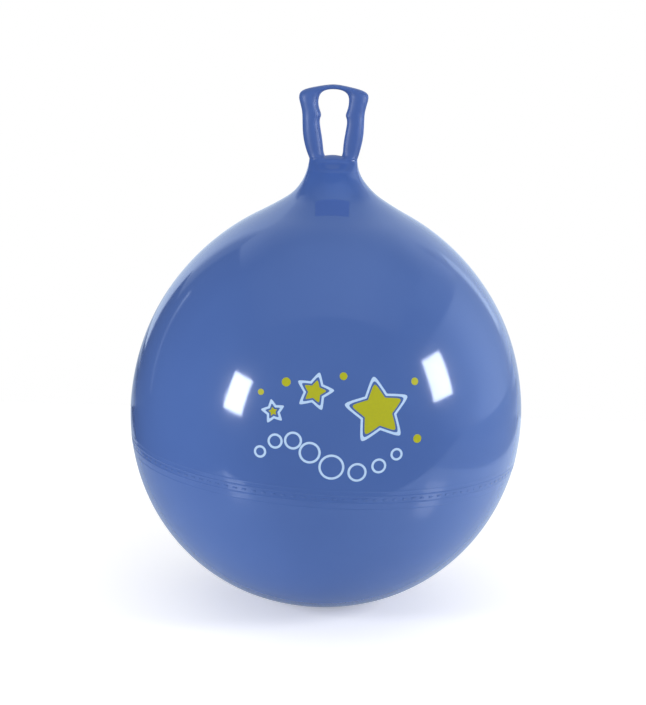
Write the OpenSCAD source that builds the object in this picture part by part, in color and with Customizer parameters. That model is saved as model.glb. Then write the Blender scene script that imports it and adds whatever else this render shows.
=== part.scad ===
// Hopper ball: a blown-up vinyl ball with a soft neck, a ring handle to hold on to
// and an air valve in its back. The skin, the neck and the handle are one hollow
// moulding, drawn here as the zones that it is made of. The ball stands on z = 0,
// its axis is Z, and its front looks along -Y. Lengths are in millimetres.

/* [Ball] */
// Diameter of the blown-up ball
ball_d = 660; // [580:5:740]
// Depth by which the ball's own weight flattens its foot
foot_sink = 3; // [1:0.5:8]
// Wall of the half under the seam
lower_wall = 1.3; // [1:0.1:4]
// Wall of the half over the seam
upper_wall = 1.1; // [1:0.1:3]

/* [Seam] */
// How far under the ball's centre the mould's seam runs
seam_drop = 58; // [20:1:90]
// Height of the seam's band
band_h = 16; // [10:0.5:24]
// Angle by which the seam's plane leans to one side
seam_tilt = 2; // [-3:0.5:3]
// Distance between the two beads
bead_gap = 12; // [8:0.5:20]
// Thickness of a bead
bead_d = 1.6; // [0.8:0.1:3]
// How far a bead and a pip stand out of the skin
bead_rise = 0.5; // [0.3:0.05:1.2]
// Length of one pip of the row between the beads
pip_l = 7; // [3:0.5:12]
// Height of one pip
pip_h = 4; // [2:0.5:8]
// Distance from one pip to the next
pip_pitch = 16; // [10:1:40]

/* [Shoulder] */
// How much larger the shoulder's arc is than the ball's
shoulder_extra = 56; // [20:1:90]
// Latitude where the ball turns into the shoulder
shoulder_start_angle = 6.5; // [5:0.5:12]
// Slope where the bulge of the shoulder ends
shoulder_end_angle = 62; // [60:0.5:66]
// Radius of the long hollow curve above the shoulder
flare_r = 600; // [500:10:800]
// Radius of the short hollow curve of the neck
neck_curve_r = 88; // [60:1:100]

/* [Neck] */
// Radius of the neck where it is narrowest
neck_r = 39.5; // [34:0.5:46]
// Wall of the neck
neck_wall = 3; // [2:0.1:5]
// How far under its narrowest place the neck ends at the crease of the handle
crease_drop = 6; // [2:0.5:12]
// Height of the collar, which turns the round neck into the oval foot of the handle
collar_h = 19; // [14:0.5:26]
// Wall over the top of the collar
collar_roof = 3; // [2:0.1:5]
// Width of the small dome between the legs
dome_w = 22; // [12:0.5:22]
// Height of the small dome
dome_h = 4.5; // [2:0.5:8]

/* [Handle] */
// Width over the corners of the ring
handle_w = 112; // [104:1:130]
// Height of the ring over the crease
handle_h = 120; // [100:1:150]
// Depth of the legs from front to back
grip_depth = 29; // [22:0.5:34]
// Wall of the hollow legs
grip_wall = 3; // [2:0.1:5]

/* [Valve] */
// Latitude of the valve on the ball's back
valve_lat = 2; // [0:0.5:3]
// Diameter of the moulded-in seat
seat_d = 26; // [22:0.5:30]
// Thickness of the seat's flange
flange_t = 3.5; // [2.5:0.1:6]
// Outer diameter of the seat's tube
seat_tube_d = 17; // [14:0.5:20]
// Length of the whole seat
seat_l = 20; // [18:0.5:30]
// Bore that the plug is pushed into
valve_bore_d = 9; // [7:0.1:10]
// Diameter of the plug's head
plug_head_d = 16; // [14:0.5:18]
// Thickness of the plug's head
plug_head_t = 2; // [1.5:0.1:2.4]
// Length of the plug's stem
plug_stem_l = 15; // [11:0.5:17]
// Number of ribs round the stem
plug_ribs = 4; // [2:1:5]
// Height of one rib over the stem
rib_rise = 0.5; // [0.2:0.05:0.8]

/* [Hidden] */
$fn = 160;

// Overrun of cuts, and the clearances of the plug
over = 1;
stem_clear = 0.05;
head_clear = 0.2;
skin_blue = "#4a69ad";

// Heights and centres of the outline's four arcs, which meet tangent to each other
ball_r = ball_d / 2;
ball_z = ball_r - foot_sink;
shoulder_r = ball_r + shoulder_extra;
shoulder_c = [0, ball_z] - shoulder_extra * ray(shoulder_start_angle);
flare_c = shoulder_c + (shoulder_r + flare_r) * ray(shoulder_end_angle);
neck_from = acos((flare_c.x - neck_curve_r - neck_r) / (flare_r - neck_curve_r));
neck_c = flare_c - (flare_r - neck_curve_r) * ray(neck_from);
crease_z = neck_c.y - crease_drop;
collar_z = crease_z - collar_h;
arc_step_angle = 2.5;

// The seam's band and its row of pips, measured from the ball's centre
band_top = -seam_drop + band_h / 2;
band_bottom = -seam_drop - band_h / 2;
seam_r = sqrt(ball_r * ball_r - seam_drop * seam_drop);
seam_slope = asin(seam_drop / ball_r);
pip_count = round(360 / pip_turn(pip_pitch));
bead_sink = lower_wall / 2;
bead_sides = 24;

// One half of the ring, from the crease up to the middle of the bridge. Each row is
// a cut through the tube: its inner point, its outer point and its depth, as shares
// of the ring's half width, of its height and of the depth of the legs.
ring_shares = [
    [0.200, 0.000, 0.722, 0.000, 0.95],
    [0.230, 0.020, 0.726, 0.020, 0.95],
    [0.260, 0.045, 0.736, 0.045, 0.95],
    [0.300, 0.092, 0.762, 0.090, 0.95],
    [0.332, 0.175, 0.815, 0.168, 0.96],
    [0.360, 0.275, 0.857, 0.268, 0.98],
    [0.386, 0.375, 0.878, 0.372, 1.00],
    [0.408, 0.458, 0.886, 0.465, 1.00],
    [0.420, 0.512, 0.890, 0.520, 1.00],
    [0.404, 0.555, 0.895, 0.562, 1.00],
    [0.372, 0.594, 0.898, 0.600, 1.00],
    [0.398, 0.634, 0.907, 0.645, 1.00],
    [0.434, 0.676, 0.925, 0.695, 1.00],
    [0.462, 0.728, 0.948, 0.752, 1.00],
    [0.468, 0.770, 0.974, 0.805, 1.00],
    [0.460, 0.806, 0.998, 0.850, 0.99],
    [0.450, 0.834, 1.000, 0.886, 0.97],
    [0.434, 0.864, 0.980, 0.909, 0.94],
    [0.408, 0.890, 0.930, 0.927, 0.90],
    [0.368, 0.912, 0.845, 0.941, 0.85],
    [0.302, 0.931, 0.700, 0.958, 0.79],
    [0.212, 0.946, 0.495, 0.977, 0.73],
    [0.108, 0.953, 0.250, 0.994, 0.69],
    [0.000, 0.955, 0.000, 1.000, 0.67]
];
hollow_rows = 17;
ring_sides = 24;
ring_round = 2.3;

// The collar rises from the round neck to an oval with flattened front and back
collar_steps = 6;
collar_sides = 48;
collar_depth = grip_depth + 3 * grip_wall;
collar_round = 2.6;
dome_depth_share = 0.9;
dome_steps = 3;

// The valve's places along its own axis, counted outwards from the ball's centre
seat_in = ball_r - seat_l;
flange_in = ball_r - flange_t;
head_in = ball_r - plug_head_t;
recess_d = plug_head_d + 2 * head_clear;
rib_d = valve_bore_d - 2 * stem_clear;
stem_d = rib_d - 2 * rib_rise;
rib_pitch = plug_stem_l / (plug_ribs + 1);
head_edge = plug_head_t / 3;
pry_notch_d = plug_head_t * 1.5;

// A unit ray in the outline's plane, and points along an arc at equal steps
function ray(a) = [cos(a), sin(a)];
function arc(c, r, a, b) =
    let (n = max(1, ceil(abs(b - a) / arc_step_angle)))
    [for (i = [0:n]) c + r * ray(a + (b - a) * i / n)];
function backwards(list) = [for (i = [len(list) - 1:-1:0]) list[i]];
function between(a, b, share) = a + (b - a) * share;

// Radius of the neck's hollow curve at height z, with the curve moved in by a wall
function neck_reach(z, wall) =
    let (r = neck_curve_r + wall, dz = neck_c.y - z)
    neck_c.x - sqrt(r * r - dz * dz);
function neck_slope(z, wall) = asin((neck_c.y - z) / (neck_curve_r + wall));

// Angle that a length along the seam takes up
function pip_turn(l) = l / seam_r * 180 / PI;

// A rounded oval with half widths a and b, as one ring of points at height z
function bulge(v, power) = sign(v) * pow(abs(v), 2 / power);
function oval(a, b, power, sides) = [
    for (i = [0:sides - 1])
        let (t = 360 * i / sides)
        [a * bulge(cos(t), power), b * bulge(sin(t), power)]
];
function raised(points, z) = [for (p = points) [p.x, p.y, z]];

// Triangles between rings of points, and the fans that close their ends
function skin_quads(rings, sides, first = 0) = [
    for (r = [0:rings - 2], i = [0:sides - 1])
        let (
            a = first + r * sides + i,
            b = first + r * sides + (i + 1) % sides
        )
        each [[a, b, b + sides], [a, b + sides, a + sides]]
];
function turned(faces) = [for (f = faces) [f[2], f[1], f[0]]];
function lid(first, sides) = [for (i = [1:sides - 2]) [first, first + i, first + i + 1]];

module loft(rings) {
    sides = len(rings[0]);
    polyhedron(
        points = [for (ring = rings) each ring],
        faces = concat(
            turned(skin_quads(len(rings), sides)),
            lid(0, sides),
            turned(lid((len(rings) - 1) * sides, sides))
        )
    );
}

// Moves a shape into the frame of the seam, whose plane leans by seam_tilt
module in_seam_frame() {
    translate([0, 0, ball_z]) rotate([0, seam_tilt, 0]) children();
}

// Moves a shape onto the valve's axis, which leaves the ball's centre backwards
module on_valve_axis() {
    translate([0, 0, ball_z]) rotate([valve_lat - 90, 0, 0]) children();
}

// Hollow ball with a flat foot, before it is cut at the seam
module hollow_ball(wall) {
    difference() {
        intersection() {
            translate([0, 0, ball_z]) sphere(r = ball_r);
            cylinder(r = ball_d, h = ball_d);
        }
        intersection() {
            translate([0, 0, ball_z]) sphere(r = ball_r - wall);
            translate([0, 0, wall]) cylinder(r = ball_d, h = ball_d);
        }
    }
}

module lower_skin() {
    color(skin_blue) difference() {
        hollow_ball(lower_wall);
        in_seam_frame() translate([0, 0, band_bottom]) cylinder(r = ball_d, h = ball_d);
    }
}

// The band's cut: the skin with a round bead along its upper and its lower edge
module band_cut() {
    intersection() {
        difference() {
            circle(r = ball_r);
            circle(r = ball_r - lower_wall);
        }
        translate([0, band_bottom]) square([ball_d, band_h]);
    }
    for (side = [-1, 1]) {
        drop = seam_drop + side * bead_gap / 2;
        wire_r = sqrt(ball_r * ball_r - drop * drop) + bead_rise - bead_d / 2;
        translate([wire_r, -drop]) circle(d = bead_d, $fn = bead_sides);
    }
}

module pip() {
    rotate([0, 0, -pip_turn(pip_l) / 2]) rotate_extrude(angle = pip_turn(pip_l))
        translate([seam_r, -seam_drop]) rotate(-seam_slope)
            translate([-bead_sink, -pip_h / 2]) square([bead_sink + bead_rise, pip_h]);
}

module seam_band() {
    color(skin_blue) in_seam_frame() {
        rotate_extrude() band_cut();
        for (i = [0:pip_count - 1]) rotate([0, 0, 360 * i / pip_count]) pip();
    }
}

// The skin over the seam: the top of the ball and the bulge of the shoulder
module upper_skin() {
    low = -2 * seam_slope;
    outer = concat(
        arc([0, ball_z], ball_r, low, shoulder_start_angle),
        arc(shoulder_c, shoulder_r, shoulder_start_angle, shoulder_end_angle)
    );
    inner = concat(
        arc([0, ball_z], ball_r - upper_wall, low, shoulder_start_angle),
        arc(shoulder_c, shoulder_r - upper_wall, shoulder_start_angle, shoulder_end_angle)
    );
    color(skin_blue) difference() {
        rotate_extrude() polygon(concat(outer, backwards(inner)));
        in_seam_frame() translate([0, 0, band_top - ball_d]) cylinder(r = ball_d, h = ball_d);
        on_valve_axis() cylinder(d = seat_d, h = ball_d);
    }
}

// The hollow curve over the shoulder, where the wall grows to that of the neck
module shoulder() {
    n = ceil((shoulder_end_angle - neck_from) / arc_step_angle);
    slopes = [for (i = [0:n]) between(shoulder_end_angle, neck_from, i / n)];
    outer = [for (a = slopes) flare_c - flare_r * ray(a)];
    inner = [
        for (i = [0:n])
            flare_c - (flare_r + between(upper_wall, neck_wall, i / n)) * ray(slopes[i])
    ];
    color(skin_blue) rotate_extrude() polygon(concat(outer, backwards(inner)));
}

// The soft part of the neck, which bends when the handle is pulled
module neck() {
    outer = arc(neck_c, -neck_curve_r, neck_from, neck_slope(collar_z, 0));
    inner = arc(
        neck_c, -neck_curve_r - neck_wall, neck_from, neck_slope(collar_z, neck_wall)
    );
    color(skin_blue) rotate_extrude() polygon(concat(outer, backwards(inner)));
}

// One ring of the collar: its width follows the neck's curve, its depth draws in
function collar_ring(share, wall) =
    let (
        z = between(collar_z, crease_z, share),
        a = neck_reach(z, wall),
        ease = share * share * (3 - 2 * share),
        b = between(a, collar_depth / 2 - wall, ease)
    )
    raised(oval(a, b, between(2, collar_round, ease), collar_sides), z);

// The small dome that closes the collar between the legs
function dome_ring(share) =
    let (a = dome_w / 2 * cos(90 * share), z = crease_z + dome_h * sin(90 * share))
    raised(oval(a, a * dome_depth_share, 2, collar_sides), z);

module neck_collar() {
    shell = [for (i = [0:collar_steps]) collar_ring(i / collar_steps, 0)];
    dome = [for (i = [0:dome_steps - 1]) dome_ring(i / dome_steps)];
    hollow_h = collar_h - collar_roof;
    hollow = [
        for (i = [0:collar_steps])
            collar_ring(i / collar_steps * hollow_h / collar_h, neck_wall)
    ];
    below = raised([for (p = hollow[0]) [p.x, p.y]], collar_z - over);
    color(skin_blue) difference() {
        loft(concat(shell, dome));
        loft(concat([below], hollow));
        for (side = [-1, 1]) leg_hole(side);
    }
}

// Where a leg's hollow opens into the collar
module leg_hole(side) {
    root = ring_row(ring_shares[0], grip_wall);
    centre = (root[0].x + root[1].x) / 2;
    translate([side * centre, 0, crease_z - collar_roof - over])
        linear_extrude(collar_roof + 2 * over)
            polygon(oval(abs(root[1].x - root[0].x) / 2, root[2], ring_round, ring_sides));
}

// A row of the table in real sizes: inner point, outer point and half depth, with the
// tube's surface moved in by a wall
function ring_row(row, wall) =
    let (
        inner = [row[0] * handle_w / 2, crease_z + row[1] * handle_h],
        outer = [row[2] * handle_w / 2, crease_z + row[3] * handle_h],
        step = (outer - inner) / norm(outer - inner) * wall
    )
    [inner + step, outer - step, row[4] * grip_depth / 2 - wall];

// The ring of points of one cut, on the right (side = 1) or on the left (side = -1)
function ring_points(cut, side) =
    let (
        middle = (cut[0] + cut[1]) / 2,
        reach = (cut[1] - cut[0]) / 2,
        section = oval(1, cut[2], ring_round, ring_sides)
    )
    [for (p = section) let (q = middle + reach * p.x) [side * q.x, p.y, q.y]];

function half_ring(from, to, wall, side) =
    [for (i = [from:to]) ring_points(ring_row(ring_shares[i], wall), side)];

// The whole ring: the outer tube runs over the bridge from one crease to the other, and
// a hollow runs up each leg and ends under the corner
module handle_ring() {
    top = len(ring_shares) - 1;
    color(skin_blue) difference() {
        loft(concat(half_ring(0, top, 0, 1), backwards(half_ring(0, top - 1, 0, -1))));
        loft(half_ring(0, hollow_rows, grip_wall, 1));
        loft(backwards(half_ring(0, hollow_rows, grip_wall, -1)));
    }
}

module valve_seat() {
    color(skin_blue) on_valve_axis() difference() {
        union() {
            intersection() {
                translate([0, 0, flange_in]) cylinder(d = seat_d, h = flange_t + over);
                sphere(r = ball_r);
            }
            translate([0, 0, seat_in]) cylinder(d = seat_tube_d, h = seat_l - flange_t);
        }
        translate([0, 0, seat_in - over]) cylinder(d = valve_bore_d, h = seat_l + 2 * over);
        translate([0, 0, head_in]) cylinder(d = recess_d, h = plug_head_t + over);
    }
}

// The plug's outline: a ribbed stem with a blunt tip under a flat, bevelled head
module valve_plug() {
    stem = [
        for (i = [0:plug_ribs - 1])
            let (z = head_in - plug_stem_l + rib_pitch * (i + 1))
            each [[stem_d / 2, z - rib_pitch / 2], [rib_d / 2, z], [stem_d / 2, z]]
    ];
    tip_z = head_in - plug_stem_l;
    head = [
        [stem_d / 2, head_in],
        [plug_head_d / 2, head_in],
        [plug_head_d / 2, ball_r - head_edge],
        [plug_head_d / 2 - head_edge, ball_r],
        [0, ball_r]
    ];
    color("white") on_valve_axis() difference() {
        rotate_extrude() polygon(concat([[0, tip_z], [stem_d / 3, tip_z]], stem, head));
        translate([0, 0, ball_r]) sphere(d = pry_notch_d);
    }
}

lower_skin();
seam_band();
upper_skin();
shoulder();
neck();
neck_collar();
handle_ring();
valve_seat();
valve_plug();
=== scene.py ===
# %% [markdown]
# Hopper ball. The real object is one hollow moulding of soft vinyl: a blown-up ball, a
# shoulder that rises into a neck, and a ring handle that grows out of the neck. Only the
# air valve in the back is a part of its own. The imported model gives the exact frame, and
# this script puts a smooth skin, the seam's fine detail, a print and the materials on it.

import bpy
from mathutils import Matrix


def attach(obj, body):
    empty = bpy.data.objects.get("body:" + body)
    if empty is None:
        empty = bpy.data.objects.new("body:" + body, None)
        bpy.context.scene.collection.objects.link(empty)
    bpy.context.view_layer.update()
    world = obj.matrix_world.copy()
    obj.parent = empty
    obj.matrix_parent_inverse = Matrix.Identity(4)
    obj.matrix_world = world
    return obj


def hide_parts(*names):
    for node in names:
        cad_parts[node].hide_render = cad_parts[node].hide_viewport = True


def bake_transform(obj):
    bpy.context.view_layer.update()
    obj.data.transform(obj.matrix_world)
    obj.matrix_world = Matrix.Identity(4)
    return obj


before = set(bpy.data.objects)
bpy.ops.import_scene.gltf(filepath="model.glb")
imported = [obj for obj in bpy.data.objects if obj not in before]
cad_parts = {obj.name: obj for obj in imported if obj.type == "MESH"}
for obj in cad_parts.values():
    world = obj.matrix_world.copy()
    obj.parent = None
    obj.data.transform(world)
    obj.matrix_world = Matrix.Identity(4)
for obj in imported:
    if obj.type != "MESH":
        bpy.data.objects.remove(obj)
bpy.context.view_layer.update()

# %% [markdown]
# The sizes are those of the part's source, in millimetres, and everything that Blender
# gets is in metres. Angles are in degrees. The outline of the ball is four arcs that meet
# tangent to each other: the ball, the larger arc of the shoulder, the long hollow curve
# over it and the short hollow curve of the neck.

# %% The outline's arcs
from math import acos, asin, atan2, ceil, copysign, cos, degrees, hypot, pi, radians, sin, sqrt, tau

import bmesh
import bpy
from mathutils import Matrix, Quaternion, Vector
from mathutils.bvhtree import BVHTree

MM = 0.001
BALL_RADIUS = 330 * MM
FOOT_SINK = 3 * MM
SHOULDER_EXTRA = 56 * MM
SHOULDER_START = 6.5
SHOULDER_END = 62
FLARE_RADIUS = 600 * MM
NECK_CURVE = 88 * MM
NECK_RADIUS = 39.5 * MM
CREASE_DROP = 6 * MM
COLLAR_HEIGHT = 19 * MM


def ray(angle):
    """A unit vector in the XZ plane, at an angle over the X axis."""
    return Vector((cos(radians(angle)), 0, sin(radians(angle))))


def ease(share):
    """A smooth step from 0 to 1."""
    share = min(max(share, 0), 1)
    return share * share * (3 - 2 * share)


ball_centre = Vector((0, 0, BALL_RADIUS - FOOT_SINK))
shoulder_radius = BALL_RADIUS + SHOULDER_EXTRA
shoulder_centre = ball_centre - SHOULDER_EXTRA * ray(SHOULDER_START)
flare_centre = shoulder_centre + (shoulder_radius + FLARE_RADIUS) * ray(SHOULDER_END)
neck_start = degrees(
    acos((flare_centre.x - NECK_CURVE - NECK_RADIUS) / (FLARE_RADIUS - NECK_CURVE))
)
neck_centre = flare_centre - (FLARE_RADIUS - NECK_CURVE) * ray(neck_start)
crease_z = neck_centre.z - CREASE_DROP
collar_z = crease_z - COLLAR_HEIGHT
neck_end = degrees(asin((neck_centre.z - collar_z) / NECK_CURVE))
print(f"the collar starts at {collar_z:.4f} m and the crease is at {crease_z:.4f} m")

# %% [markdown]
# A ball with a neck is a turned shape, so its skin is half an outline that is spun once
# round the axis. The outline itself is drawn with the same tool: spinning one vertex
# round the centre of an arc leaves a chain of edges along the arc. Where the mould's
# halves meet, the rows are close together, so that the raised lines there can be real
# shapes. A flat row on both sides of each line keeps its shading off the ball, and a last
# narrow row keeps the rim of the neck crisp.

# %% Draw the outline
SEAM_DROP = 58 * MM
SEAM_EDGE = 22 * MM
PLAIN_ROW = 10 * MM
PAD_HALF_HEIGHT = 2 * MM
RIDGE_REACH = 1.4 * MM
ROW_ANGLE = 1.5
RIM_ANGLE = 0.2
ROWS_UNDER_SHOULDER = 8
SHOULDER_ROWS = 40
FLARE_ROWS = 9
NECK_ROWS = 18
# Each ridge: its distance from the seam's middle, up the ball, and how far it stands out
RIDGES = [(-17 * MM, 0.2 * MM), (-6.1 * MM, 0.32 * MM), (6.1 * MM, 0.4 * MM), (14 * MM, 0.15 * MM)]
AROUND_RIDGE = [near * MM for near in (-1.9, -1.4, -0.9, -0.45, 0, 0.45, 0.9, 1.4, 1.9)]


def draw_arc(outline, tip, centre, angle, steps):
    """Sweeps the outline's last vertex round a centre and returns the new last vertex."""
    swept = bmesh.ops.spin(
        outline, geom=[tip], cent=centre, axis=(0, -1, 0), dvec=(0, 0, 0),
        angle=radians(angle), steps=steps, use_merge=False,
    )
    return next(v for v in swept["geom_last"] if isinstance(v, bmesh.types.BMVert))


def arc_angle(length):
    """The angle that a length along the ball's surface takes up."""
    return degrees(length / BALL_RADIUS)


seam_latitude = -degrees(asin(SEAM_DROP / BALL_RADIUS))
foot_latitude = degrees(acos(ball_centre.z / BALL_RADIUS)) - 90
low_edge = seam_latitude - arc_angle(SEAM_EDGE)
high_edge = seam_latitude + arc_angle(SEAM_EDGE)

ball = bmesh.new()
middle = ball.verts.new((0, 0, 0))
tip = ball.verts.new(ball_centre + BALL_RADIUS * ray(foot_latitude))
ball.edges.new((middle, tip))
below_rows = ceil((low_edge - foot_latitude) / ROW_ANGLE)
tip = draw_arc(ball, tip, ball_centre, low_edge - foot_latitude, below_rows)

stations = {-SEAM_EDGE, -PLAIN_ROW, -PAD_HALF_HEIGHT, PAD_HALF_HEIGHT, PLAIN_ROW, SEAM_EDGE}
stations |= {place + near for place, rise in RIDGES for near in AROUND_RIDGE}
stations = sorted(stations)
for before, after in zip(stations, stations[1:]):
    tip = draw_arc(ball, tip, ball_centre, arc_angle(after - before), 1)

tip = draw_arc(ball, tip, ball_centre, SHOULDER_START - high_edge, ROWS_UNDER_SHOULDER)
tip = draw_arc(ball, tip, shoulder_centre, SHOULDER_END - SHOULDER_START, SHOULDER_ROWS)
tip = draw_arc(ball, tip, flare_centre, neck_start - SHOULDER_END, FLARE_ROWS)
tip = draw_arc(ball, tip, neck_centre, neck_end + RIM_ANGLE - neck_start, NECK_ROWS)
tip = draw_arc(ball, tip, neck_centre, -RIM_ANGLE, 1)
print("the outline has", len(ball.verts), "vertices and ends at", tuple(tip.co))

# %% [markdown]
# The mould's seam on such balls is a row of small pads between two fine raised lines,
# with one finer line further off above them and one below. The lines are lifted in the
# outline before it is spun, which turns them into rings. The pads are every second face of
# one row, inset twice: first flat, for a crisp foot, and then outwards.

# %% Raise the lines, spin the outline and raise the pads
SPIN_STEPS = 256
PAD_MARGIN = 0.3 * MM
PAD_SLOPE = 0.35 * MM
PAD_RISE = 0.3 * MM
TOUCHING = 0.001 * MM


def latitude(point):
    """The angle of a point over the level plane through the ball's centre."""
    out = point - ball_centre
    return degrees(atan2(out.z, hypot(out.x, out.y)))


def from_seam(point):
    """The distance from the seam's middle, measured up the ball."""
    return radians(latitude(point) - seam_latitude) * BALL_RADIUS


for vertex in ball.verts:
    for place, rise in RIDGES:
        off = abs(from_seam(vertex.co) - place)
        if off < RIDGE_REACH:
            out = (vertex.co - ball_centre).normalized()
            vertex.co += out * rise * cos(off / RIDGE_REACH * pi / 2) ** 2

bmesh.ops.spin(
    ball, geom=ball.verts[:] + ball.edges[:], cent=(0, 0, 0), axis=(0, 0, 1),
    dvec=(0, 0, 0), angle=tau, steps=SPIN_STEPS, use_merge=True,
)
bmesh.ops.remove_doubles(ball, verts=ball.verts, dist=TOUCHING)
neck_rim = [edge for edge in ball.edges if edge.is_boundary]
bmesh.ops.holes_fill(ball, edges=neck_rim, sides=0)
bmesh.ops.recalc_face_normals(ball, faces=ball.faces)

pad_row = [f for f in ball.faces if abs(from_seam(f.calc_center_median())) < PAD_HALF_HEIGHT / 2]
pad_row.sort(key=lambda f: atan2(f.calc_center_median().y, f.calc_center_median().x))
pads = pad_row[::2]
bmesh.ops.inset_individual(ball, faces=pads, thickness=PAD_MARGIN, depth=0)
bmesh.ops.inset_individual(ball, faces=pads, thickness=PAD_SLOPE, depth=PAD_RISE)
print(len(pads), "pads on the seam")

# %% [markdown]
# The seam doesn't lie level: its plane leans by two degrees. Turning a point about the
# ball's centre leaves it on the ball, so the rows near the seam are turned by the whole
# angle, and the rows up to the shoulder and down to the foot by less and less.

# %% Lean the seam
SEAM_TILT = 2
FOOT_REST = -70
FOOT_EASE = 30

rows = {}
for vertex in ball.verts:
    rows.setdefault(round(latitude(vertex.co), 2), []).append(vertex)
for height, row in rows.items():
    over = ease((SHOULDER_START - height) / (SHOULDER_START - high_edge))
    under = ease((height - FOOT_REST) / FOOT_EASE)
    lean = Matrix.Rotation(radians(SEAM_TILT * over * under), 3, "Y")
    bmesh.ops.rotate(ball, verts=row, cent=ball_centre, matrix=lean)
print(len(rows), "rows turned")

# %% [markdown]
# The valve sits in the back of the ball. A patch of faces is cut out there, a round hole
# of the seat's size is bridged to the rim of the patch, and its edge is extruded inwards
# to a pocket, so that the seat has a place to sit in and the skin stays closed.

# %% Cut the pocket for the valve
VALVE_LATITUDE = 2
SEAT_RADIUS = 13 * MM
SEAT_LENGTH = 20 * MM
POCKET_ROOM = 0.3 * MM
PATCH_RADIUS = 19 * MM
HOLE_SIDES = 48

valve_out = Vector((0, cos(radians(VALVE_LATITUDE)), sin(radians(VALVE_LATITUDE))))
on_valve = Matrix.Translation(ball_centre) @ Matrix.Rotation(radians(VALVE_LATITUDE - 90), 4, "X")
valve_point = ball_centre + valve_out * BALL_RADIUS
patch = [f for f in ball.faces if (f.calc_center_median() - valve_point).length < PATCH_RADIUS]
bmesh.ops.delete(ball, geom=patch, context="FACES")
patch_rim = [edge for edge in ball.edges if edge.is_boundary]
hole_height = sqrt(BALL_RADIUS**2 - SEAT_RADIUS**2)
hole = bmesh.ops.create_circle(
    ball, segments=HOLE_SIDES, radius=SEAT_RADIUS,
    matrix=on_valve @ Matrix.Translation((0, 0, hole_height)),
)
hole_rim = list({edge for vertex in hole["verts"] for edge in vertex.link_edges})
bmesh.ops.bridge_loops(ball, edges=patch_rim + hole_rim)
wall = bmesh.ops.extrude_edge_only(ball, edges=hole_rim)
floor_verts = [v for v in wall["geom"] if isinstance(v, bmesh.types.BMVert)]
bmesh.ops.translate(ball, verts=floor_verts, vec=-valve_out * (SEAT_LENGTH + POCKET_ROOM))
bmesh.ops.holes_fill(ball, edges=[e for e in ball.edges if e.is_boundary], sides=0)
bmesh.ops.recalc_face_normals(ball, faces=ball.faces)
print("pocket for the valve:", len(patch), "faces cut out")

# %% [markdown]
# A blown-up ball is never a perfect figure. Air pressure fills out the slopes between
# its middle and its ends by two millimetres, and the soft body leans over by half a
# degree, while the neck and the handle straighten up again. A lean moves every point
# sideways by an amount that depends on its height alone.

# %% Fill out and lean the ball
FULLNESS = 2 * MM
FULL_FROM = 35
FULL_TOP = 738 * MM
FULL_FADE = 35 * MM
FOOT_CALM = -78
CALM_EASE = 20
BODY_LEAN = 0.0079
LEAN_TOP = 690 * MM
STRAIGHT_TOP = 742 * MM
HANDLE_LEAN = -0.0192
HANDLE_SHIFT = -0.8 * MM


def fullness(point):
    """How far the air fills out the ball at a point."""
    height = latitude(point)
    if height < 0:
        return FULLNESS * sin(radians(2 * height)) ** 2 * ease((height - FOOT_CALM) / CALM_EASE)
    return FULLNESS * ease(height / FULL_FROM) * ease((FULL_TOP - point.z) / FULL_FADE)


def sideways_lean(height):
    """How far a point at a height is moved sideways."""
    body = BODY_LEAN * (min(height, LEAN_TOP) - ball_centre.z)
    handle = HANDLE_SHIFT + HANDLE_LEAN * max(0, height - crease_z)
    share = ease((height - LEAN_TOP) / (STRAIGHT_TOP - LEAN_TOP))
    return body + (handle - body) * share


for vertex in ball.verts:
    out = (vertex.co - ball_centre).normalized()
    vertex.co += out * fullness(vertex.co)
    vertex.co.x += sideways_lean(vertex.co.z)

# %% [markdown]
# Every piece ends the same way: its faces are shaded smooth, its sharp corners are
# marked, and it becomes an object at the origin, with its place in its mesh. The soft
# skins have few true corners, and the valve and the print have more.

# %% A helper that turns a shape into a piece
CORNER = 66
FINE_CORNER = 40


def make_piece(name, shape, corner=CORNER):
    """Turns a bmesh into an object, with smooth faces and marked corners."""
    for face in shape.faces:
        face.smooth = True
    for edge in shape.edges:
        edge.smooth = edge.calc_face_angle(0) < radians(corner)
    mesh = bpy.data.meshes.new(name)
    shape.to_mesh(mesh)
    shape.free()
    piece = bpy.data.objects.new(name, mesh)
    bpy.context.scene.collection.objects.link(piece)
    print(name, "has", len(mesh.polygons), "faces")
    return piece


skin_tree = BVHTree.FromBMesh(ball)
ball_skin = make_piece("ball_skin", ball)

# %% [markdown]
# The neck's top turns from a circle into an oval, and two legs grow out of it, with a
# small dome between them. A cage of few faces is extruded ring by ring, and Subdivision
# Surface rounds it. Each new vertex remembers its angle round its ring, so one function
# can place any ring.

# %% Extrude the collar
COLLAR_SIDES = 48
COLLAR_ROWS = [0.03, 0.17, 0.33, 0.5, 0.67, 0.83, 1]
COLLAR_DEPTH = 38 * MM
COLLAR_POWER = 2.6


def bulge(value, power):
    """Bends a sine or cosine, so that a circle becomes a fuller oval."""
    return copysign(abs(value) ** (2 / power), value)


def neck_reach(height):
    """The neck's radius at a height, on its hollow curve."""
    return neck_centre.x - sqrt(NECK_CURVE**2 - (neck_centre.z - height) ** 2)


def collar_place(angle, share):
    """A point of the collar, at an angle round it and a share of its height."""
    height = collar_z + share * COLLAR_HEIGHT
    wide = neck_reach(height)
    deep = wide + (COLLAR_DEPTH / 2 - wide) * ease(share)
    power = 2 + (COLLAR_POWER - 2) * ease(share)
    return Vector((wide * bulge(cos(angle), power), deep * bulge(sin(angle), power), height))


def extrude_face(shape, face):
    """Extrudes one face, drops the old one and returns the new one."""
    grown = bmesh.ops.extrude_face_region(shape, geom=[face])
    bmesh.ops.delete(shape, geom=[face], context="FACES_ONLY")
    return next(f for f in grown["geom"] if isinstance(f, bmesh.types.BMFace))


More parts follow.
